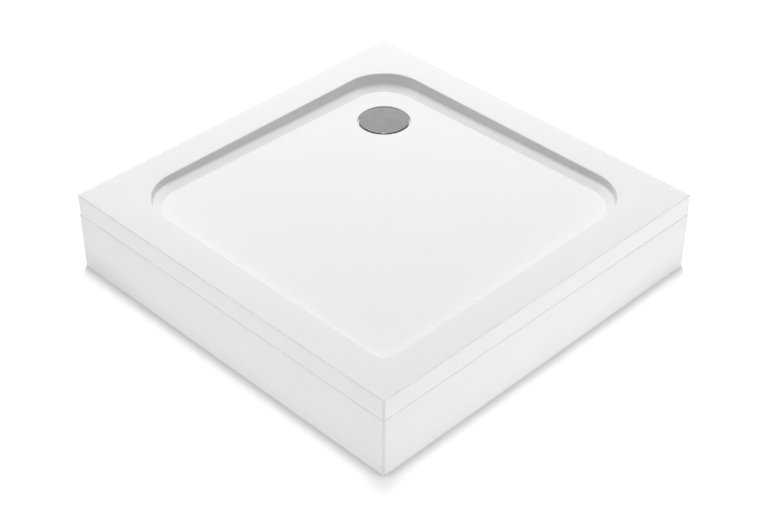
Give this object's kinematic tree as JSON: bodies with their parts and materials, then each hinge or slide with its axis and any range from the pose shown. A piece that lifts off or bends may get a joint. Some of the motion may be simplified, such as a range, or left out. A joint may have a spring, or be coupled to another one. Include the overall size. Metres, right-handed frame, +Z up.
{
  "type": "shower tray",
  "caption": "Square low-profile shower tray on a riser kit: clip-on white panels, screw-adjustable legs and a corner waste under a domed chrome cover.",
  "frame": {"origin": "on the floor under the tray's centre", "axes": "+Z up; the room's walls are on the -X and +Y sides, the riser panels on the -Y (left) and +X (right) sides"},
  "size_m": [0.9, 0.9, 0.185],
  "materials": {
    "tray_skin": "high gloss acrylic skin",
    "cast_resin": "cast mineral-filled resin, slightly rough",
    "waste_plastic": "moulded white plastic",
    "rubber_seal": "black rubber",
    "steel_fixings": "stainless screws",
    "nut_plastic": "moulded white plastic",
    "strainer_plastic": "grey moulded plastic",
    "polished_chrome": "chrome plated",
    "panel_plastic": "extruded white plastic, gloss outside",
    "cap_plastic": "moulded white plastic",
    "trim_plastic": "extruded white plastic",
    "clip_plastic": "grey nylon",
    "leg_plastic": "black glass-filled nylon",
    "zinc_steel": "zinc plated steel",
    "foot_rubber": "black rubber"
  },
  "bodies": {
    "tray": {"tray_shell": "tray_skin", "resin_core": "cast_resin", "waste_flange": "waste_plastic", "upper_gasket": "rubber_seal", "lower_gasket": "rubber_seal", "flange_screws": "steel_fixings", "trap_body": "waste_plastic", "trap_outlet": "waste_plastic", "outlet_seal": "rubber_seal", "outlet_washer": "waste_plastic", "outlet_nut": "nut_plastic", "leg_screws": "steel_fixings", "leg_bracket_front": "leg_plastic", "leg_bracket_left": "leg_plastic", "leg_bracket_right": "leg_plastic", "leg_bracket_back": "leg_plastic", "leg_bracket_centre": "leg_plastic", "lock_nut_front": "zinc_steel", "lock_nut_left": "zinc_steel", "lock_nut_right": "zinc_steel", "lock_nut_back": "zinc_steel", "lock_nut_centre": "zinc_steel"},
    "trap_insert": {"trap_insert": "waste_plastic", "insert_o_ring": "rubber_seal", "hair_strainer": "strainer_plastic"},
    "waste_cover": {"waste_cover": "polished_chrome", "cover_plug": "strainer_plastic"},
    "left_panel": {"left_panel": "panel_plastic", "left_panel_end_cap": "cap_plastic", "left_panel_clip_wall": "clip_plastic", "left_panel_clip_corner": "clip_plastic"},
    "right_panel": {"right_panel": "panel_plastic", "right_panel_end_cap": "cap_plastic", "right_panel_clip_wall": "clip_plastic", "right_panel_clip_corner": "clip_plastic", "corner_trim": "trim_plastic"},
    "foot_front": {"foot_front": "leg_plastic", "foot_sole_front": "foot_rubber"},
    "stud_front": {"leg_stud_front": "zinc_steel"},
    "foot_left": {"foot_left": "leg_plastic", "foot_sole_left": "foot_rubber"},
    "stud_left": {"leg_stud_left": "zinc_steel"},
    "foot_right": {"foot_right": "leg_plastic", "foot_sole_right": "foot_rubber"},
    "stud_right": {"leg_stud_right": "zinc_steel"},
    "foot_back": {"foot_back": "leg_plastic", "foot_sole_back": "foot_rubber"},
    "stud_back": {"leg_stud_back": "zinc_steel"},
    "foot_centre": {"foot_centre": "leg_plastic", "foot_sole_centre": "foot_rubber"},
    "stud_centre": {"leg_stud_centre": "zinc_steel"}
  },
  "joints": [
    {"name": "insert_lift", "type": "slide", "parent": "tray", "child": "trap_insert", "axis": [0, 0, 1], "range_m": [0, 0.12]},
    {"name": "cover_lift", "type": "slide", "parent": "trap_insert", "child": "waste_cover", "axis": [0, 0, 1], "range_m": [0, 0.05]},
    {"name": "left_panel_pull", "type": "slide", "parent": "tray", "child": "left_panel", "axis": [0, -1, 0], "range_m": [0, 0.08]},
    {"name": "right_panel_pull", "type": "slide", "parent": "tray", "child": "right_panel", "axis": [1, 0, 0], "range_m": [0, 0.08]},
    {"name": "foot_travel_front", "type": "slide", "parent": "tray", "child": "foot_front", "axis": [0, 0, 1], "range_m": [-0.0179, 0.0079]},
    {"name": "stud_turn_front", "type": "hinge", "parent": "foot_front", "child": "stud_front", "pos_m": [0.388, -0.388, 0.05], "axis": [0, 0, 1], "range_deg": [-3690, 1640]},
    {"name": "foot_travel_left", "type": "slide", "parent": "tray", "child": "foot_left", "axis": [0, 0, 1], "range_m": [-0.0179, 0.0079]},
    {"name": "stud_turn_left", "type": "hinge", "parent": "foot_left", "child": "stud_left", "pos_m": [-0.388, -0.388, 0.05], "axis": [0, 0, 1], "range_deg": [-3690, 1640]},
    {"name": "foot_travel_right", "type": "slide", "parent": "tray", "child": "foot_right", "axis": [0, 0, 1], "range_m": [-0.0179, 0.0079]},
    {"name": "stud_turn_right", "type": "hinge", "parent": "foot_right", "child": "stud_right", "pos_m": [0.388, 0.388, 0.05], "axis": [0, 0, 1], "range_deg": [-3690, 1640]},
    {"name": "foot_travel_back", "type": "slide", "parent": "tray", "child": "foot_back", "axis": [0, 0, 1], "range_m": [-0.0179, 0.0079]},
    {"name": "stud_turn_back", "type": "hinge", "parent": "foot_back", "child": "stud_back", "pos_m": [-0.388, 0.388, 0.05], "axis": [0, 0, 1], "range_deg": [-3690, 1640]},
    {"name": "foot_travel_centre", "type": "slide", "parent": "tray", "child": "foot_centre", "axis": [0, 0, 1], "range_m": [-0.0179, 0.0079]},
    {"name": "stud_turn_centre", "type": "hinge", "parent": "foot_centre", "child": "stud_centre", "pos_m": [0, 0, 0.05], "axis": [0, 0, 1], "range_deg": [-3690, 1640]}
  ],
  "couplings": [
    {"joint": "stud_turn_front", "follows": "foot_travel_front", "rad_per_m": 3590.4},
    {"joint": "stud_turn_left", "follows": "foot_travel_left", "rad_per_m": 3590.4},
    {"joint": "stud_turn_right", "follows": "foot_travel_right", "rad_per_m": 3590.4},
    {"joint": "stud_turn_back", "follows": "foot_travel_back", "rad_per_m": 3590.4},
    {"joint": "stud_turn_centre", "follows": "foot_travel_centre", "rad_per_m": 3590.4}
  ]
}
